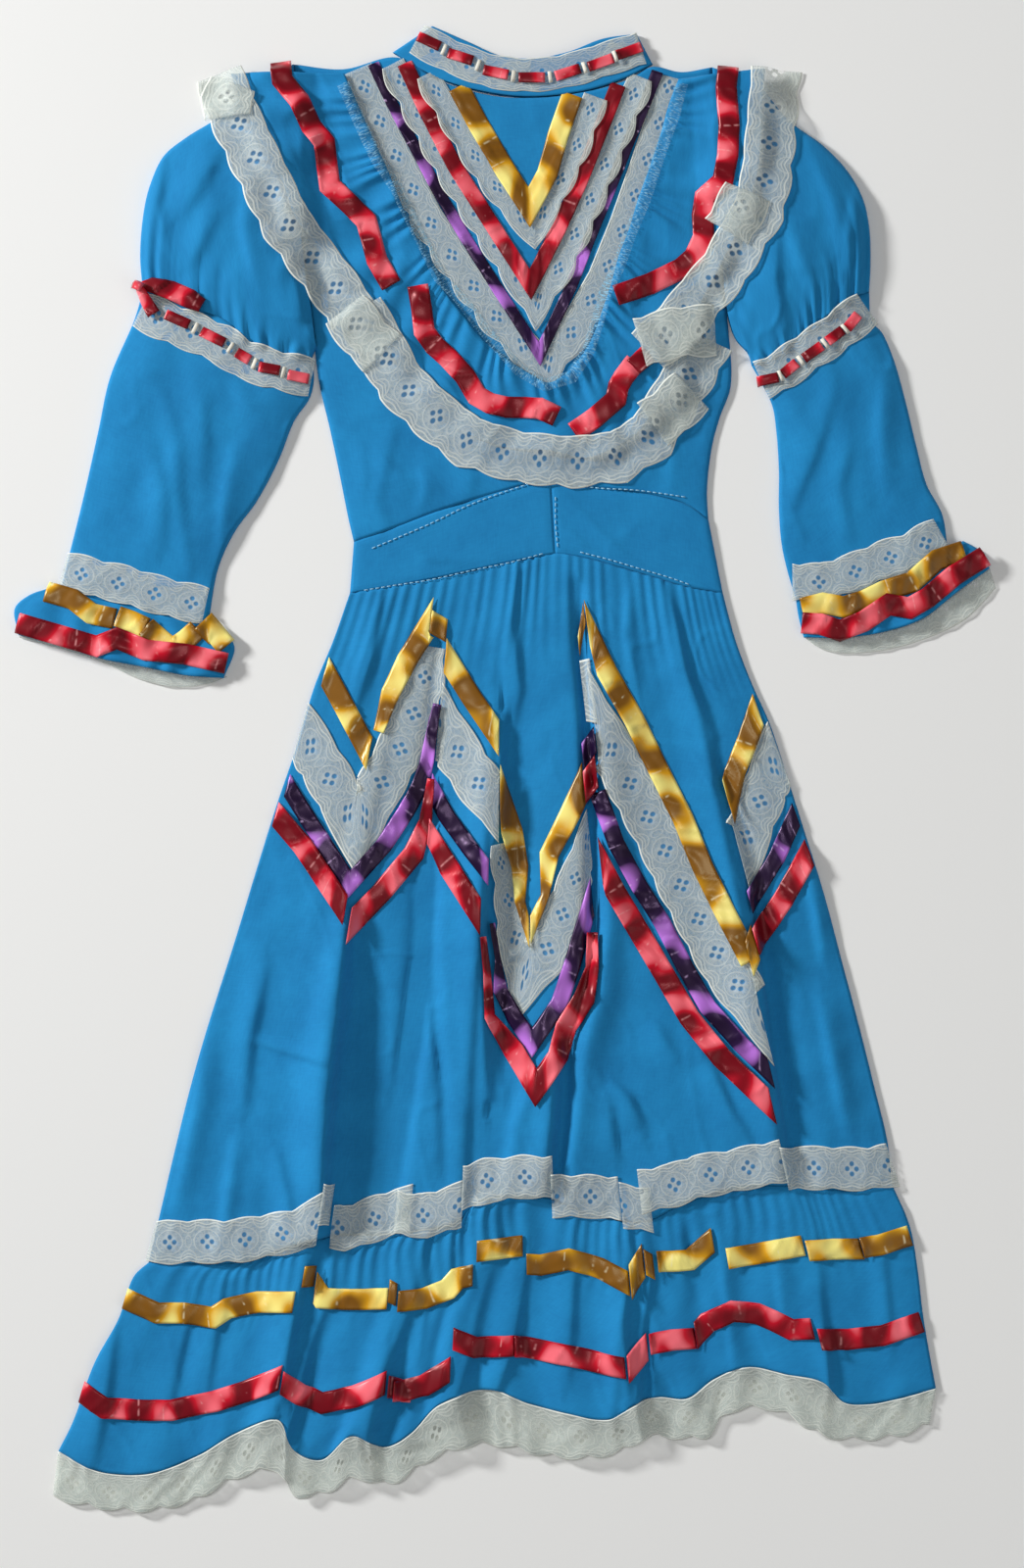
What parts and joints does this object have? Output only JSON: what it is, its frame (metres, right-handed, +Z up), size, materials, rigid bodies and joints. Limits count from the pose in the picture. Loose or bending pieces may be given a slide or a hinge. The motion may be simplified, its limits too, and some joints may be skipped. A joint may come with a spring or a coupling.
{
  "type": "jalisco folklorico dress",
  "caption": "Girl's blue folk dance dress laid flat, with a gathered shoulder ruffle, puffed sleeves, a long flounced skirt, and ribbon and lace trim in V and zigzag bands.",
  "frame": {"origin": "on the surface it lies on, below the middle of its plan", "axes": "+Y from the hem towards the collar, +X towards the viewer's right, +Z up from the surface"},
  "size_m": [0.7465, 1.135, 0.0191],
  "materials": {
    "blue_poplin": "plain woven poly-cotton with a faint sheen",
    "gold_satin_ribbon": "glossy satin ribbon",
    "red_satin_ribbon": "glossy satin ribbon",
    "purple_ribbon": "ribbon with a metallic sparkle",
    "white_lace": "scalloped lace with flower eyelets"
  },
  "bodies": {
    "root": {"bodice_back": "blue_poplin", "bodice_front": "blue_poplin", "collar": "white_lace", "cuff_edge_lace_left": "white_lace", "cuff_edge_lace_right": "white_lace", "cuff_flounce_left": "blue_poplin", "cuff_flounce_right": "blue_poplin", "cuff_lace_left": "white_lace", "cuff_lace_right": "white_lace", "cuff_ribbon_gold_left": "gold_satin_ribbon", "cuff_ribbon_gold_right": "gold_satin_ribbon", "cuff_ribbon_red_left": "red_satin_ribbon", "cuff_ribbon_red_right": "red_satin_ribbon", "flounce_back": "blue_poplin", "flounce_front": "blue_poplin", "flounce_ribbon_gold": "gold_satin_ribbon", "flounce_ribbon_red": "red_satin_ribbon", "flounce_seam_lace": "white_lace", "hem_lace_back": "white_lace", "hem_lace_front": "white_lace", "ruffle_lace_1": "white_lace", "ruffle_lace_2": "white_lace", "ruffle_lace_3": "white_lace", "ruffle_ribbon_red_1": "red_satin_ribbon", "ruffle_ribbon_red_2": "red_satin_ribbon", "ruffle_ribbon_red_3": "red_satin_ribbon", "shoulder_ruffle": "blue_poplin", "skirt_back": "blue_poplin", "skirt_front": "blue_poplin", "sleeve_band_lace_left": "white_lace", "sleeve_band_lace_right": "white_lace", "sleeve_bow_left": "red_satin_ribbon", "sleeve_lower_left": "blue_poplin", "sleeve_lower_right": "blue_poplin", "sleeve_puff_left": "blue_poplin", "sleeve_puff_right": "blue_poplin", "waistband_left": "blue_poplin", "waistband_right": "blue_poplin", "yoke_lace_inner": "white_lace", "yoke_lace_middle": "white_lace", "yoke_lace_outer": "white_lace", "yoke_ribbon_purple": "purple_ribbon", "yoke_ribbon_red": "red_satin_ribbon", "yoke_ribbon_yellow": "gold_satin_ribbon", "zigzag_gold_1": "gold_satin_ribbon", "zigzag_gold_2": "gold_satin_ribbon", "zigzag_gold_3": "gold_satin_ribbon", "zigzag_gold_4": "gold_satin_ribbon", "zigzag_lace_1": "white_lace", "zigzag_lace_2": "white_lace", "zigzag_lace_3": "white_lace", "zigzag_lace_4": "white_lace", "zigzag_purple_1": "purple_ribbon", "zigzag_purple_2": "purple_ribbon", "zigzag_purple_3": "purple_ribbon", "zigzag_purple_4": "purple_ribbon", "zigzag_red_1": "red_satin_ribbon", "zigzag_red_2": "red_satin_ribbon", "zigzag_red_3": "red_satin_ribbon", "zigzag_red_4": "red_satin_ribbon"}
  },
  "joints": []
}
